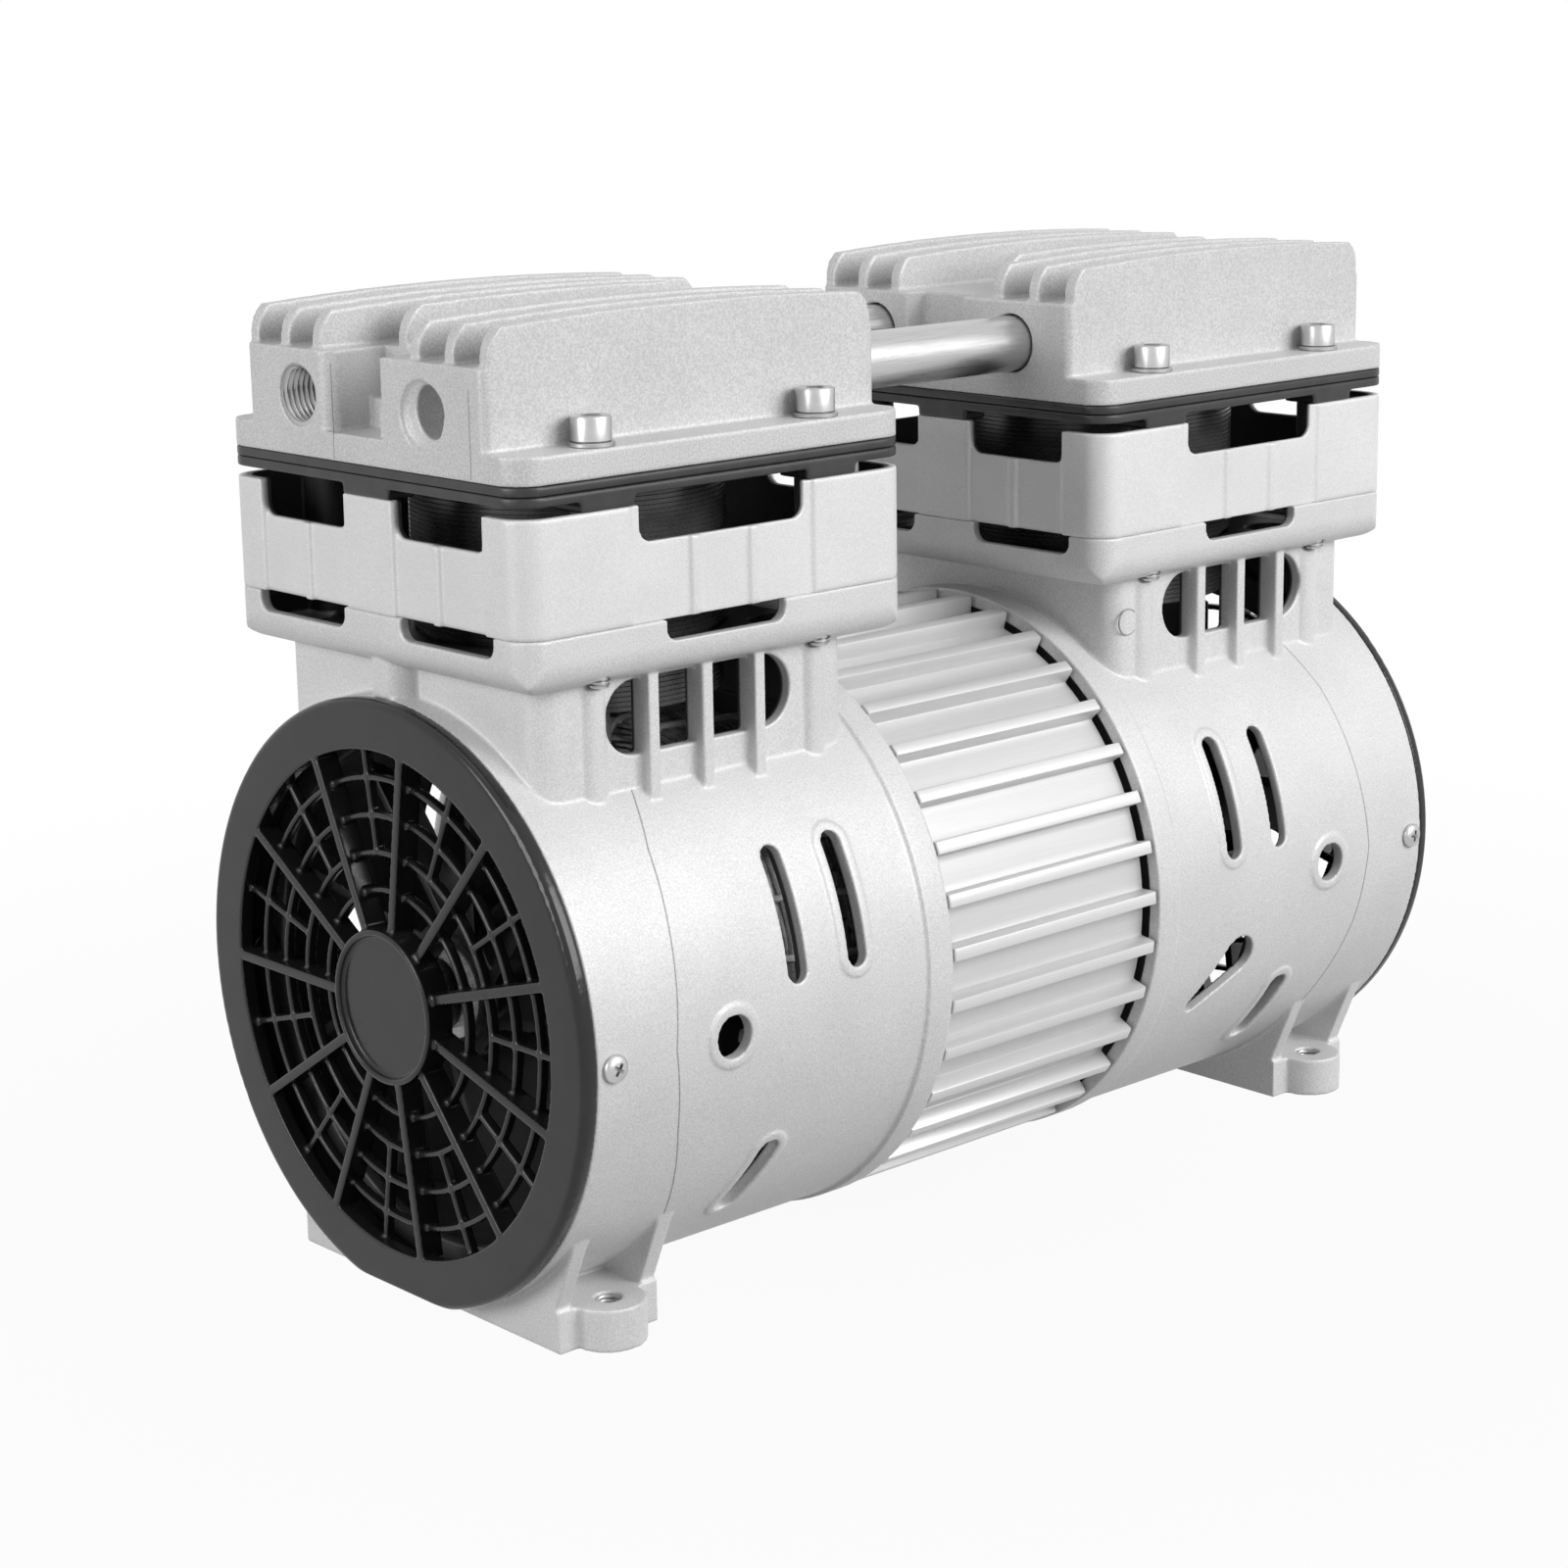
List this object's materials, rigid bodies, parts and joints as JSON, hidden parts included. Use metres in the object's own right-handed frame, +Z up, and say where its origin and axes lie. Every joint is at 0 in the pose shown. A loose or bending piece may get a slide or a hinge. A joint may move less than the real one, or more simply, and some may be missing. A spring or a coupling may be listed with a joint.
{
  "type": "oil-free air compressor",
  "caption": "Oil-free rocking-piston air compressor: an electric motor with a ribbed sleeve between end housings, each with a finned head on a crank box, grilles at the ends.",
  "frame": {"origin": "middle of the base, on the plane that the four feet stand on", "axes": "+X along the motor axis from the front grille to the rear grille, +Y across the motor towards the side away from the picture's viewer, +Z up"},
  "size_m": [0.2902, 0.1424, 0.2248],
  "materials": {
    "cast": "sandblasted die casting",
    "sleeve": "satin extrusion",
    "core": "laminated steel",
    "winding": "enamelled wire, varnished",
    "steel": "bright plated",
    "tube": "polished",
    "grille": "semi-matte",
    "fan": "semi-matte",
    "plate": "satin black",
    "liner": "black anodised",
    "eccentric": "machined",
    "rod": "die casting",
    "cup": "filled fluoropolymer",
    "seal": "moulded"
  },
  "bodies": {
    "frame": {"front_housing": "cast", "rear_housing": "cast", "motor_sleeve": "sleeve", "stator_core": "core", "front_winding": "winding", "rear_winding": "winding", "tie_bolts": "steel", "tie_nuts": "steel", "front_shaft_bearing": "steel", "rear_shaft_bearing": "steel", "preload_washer": "steel", "front_grille": "grille", "rear_grille": "grille", "grille_screws": "steel", "front_cylinder": "liner", "rear_cylinder": "liner", "front_shroud": "cast", "rear_shroud": "cast", "front_baffle": "plate", "rear_baffle": "plate", "front_valve_plate": "plate", "rear_valve_plate": "plate", "head_seals": "seal", "front_head": "cast", "rear_head": "cast", "head_bolts": "steel", "head_washers": "steel", "intake_reeds": "steel", "discharge_reeds": "steel", "reed_stops": "steel", "reed_screws": "steel", "intake_tube": "tube", "discharge_tube": "tube", "tube_o_rings": "seal"},
    "rotor": {"shaft": "steel", "rotor_core": "core", "front_fan": "fan", "rear_fan": "fan", "fan_clips": "steel", "front_eccentric": "eccentric", "rear_eccentric": "eccentric", "eccentric_screws": "steel"},
    "front_rod_set": {"front_rod": "rod", "front_rod_bearing": "steel", "front_piston_cup": "cup", "front_cup_clamp": "rod", "front_clamp_screw": "steel"},
    "rear_rod_set": {"rear_rod": "rod", "rear_rod_bearing": "steel", "rear_piston_cup": "cup", "rear_cup_clamp": "rod", "rear_clamp_screw": "steel"}
  },
  "joints": [
    {"name": "rotor_spin", "type": "hinge", "parent": "frame", "child": "rotor", "pos_m": [0, 0, 0.0707], "axis": [1, 0, 0], "continuous": true},
    {"name": "front_rod_pivot", "type": "hinge", "parent": "rotor", "child": "front_rod_set", "pos_m": [-0.0875, 0, 0.0767], "axis": [1, 0, 0], "continuous": true},
    {"name": "rear_rod_pivot", "type": "hinge", "parent": "rotor", "child": "rear_rod_set", "pos_m": [0.0875, 0, 0.0647], "axis": [1, 0, 0], "continuous": true}
  ],
  "couplings": [
    {"joint": "front_rod_pivot", "follows": "rotor_spin", "ratio": -1},
    {"joint": "rear_rod_pivot", "follows": "rotor_spin", "ratio": -1}
  ]
}
